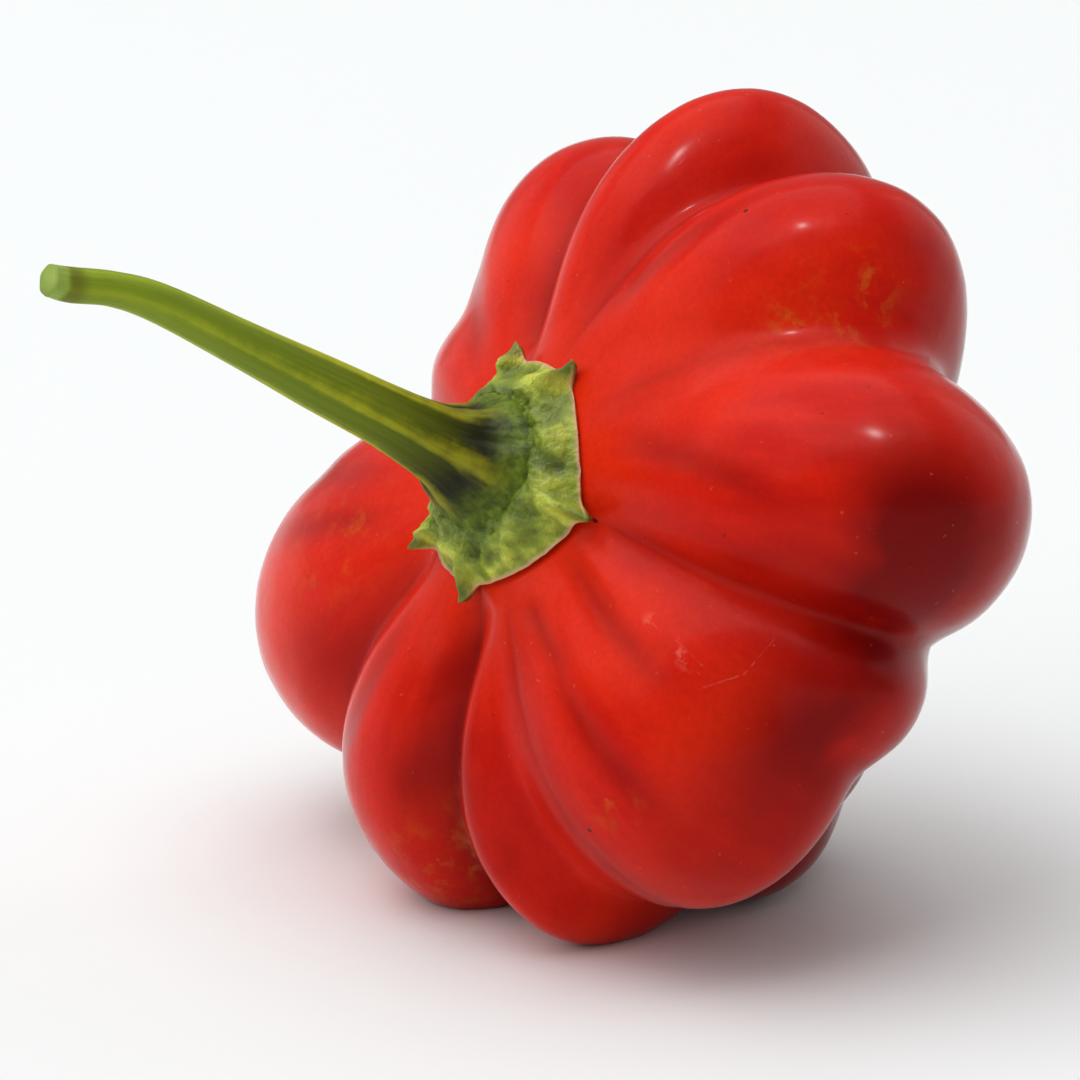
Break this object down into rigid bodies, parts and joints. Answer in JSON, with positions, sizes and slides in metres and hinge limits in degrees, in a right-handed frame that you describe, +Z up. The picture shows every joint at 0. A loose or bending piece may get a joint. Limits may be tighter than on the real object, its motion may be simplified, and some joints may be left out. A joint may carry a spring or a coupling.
{
  "type": "chilli pepper",
  "caption": "Squat, deeply lobed ripe red chilli pepper with a toothed green calyx and a ribbed, curved stalk, lying on its side as picked.",
  "frame": {"origin": "on the surface the chilli lies on, under the middle of its box", "axes": "+Z up from the surface, -X the way the stalk points, +Y to the left of the stalk end seen from the blossom end"},
  "size_m": [0.0566, 0.0504, 0.045],
  "materials": {
    "fruit_skin": "waxy, glossy ripe red skin",
    "calyx_flesh": "bumpy pale yellow-green, dull",
    "stalk_skin": "ribbed dark green with yellow-green ribs, satin"
  },
  "bodies": {
    "root": {"fruit": "fruit_skin", "calyx": "calyx_flesh", "pedicel": "stalk_skin"}
  },
  "joints": []
}
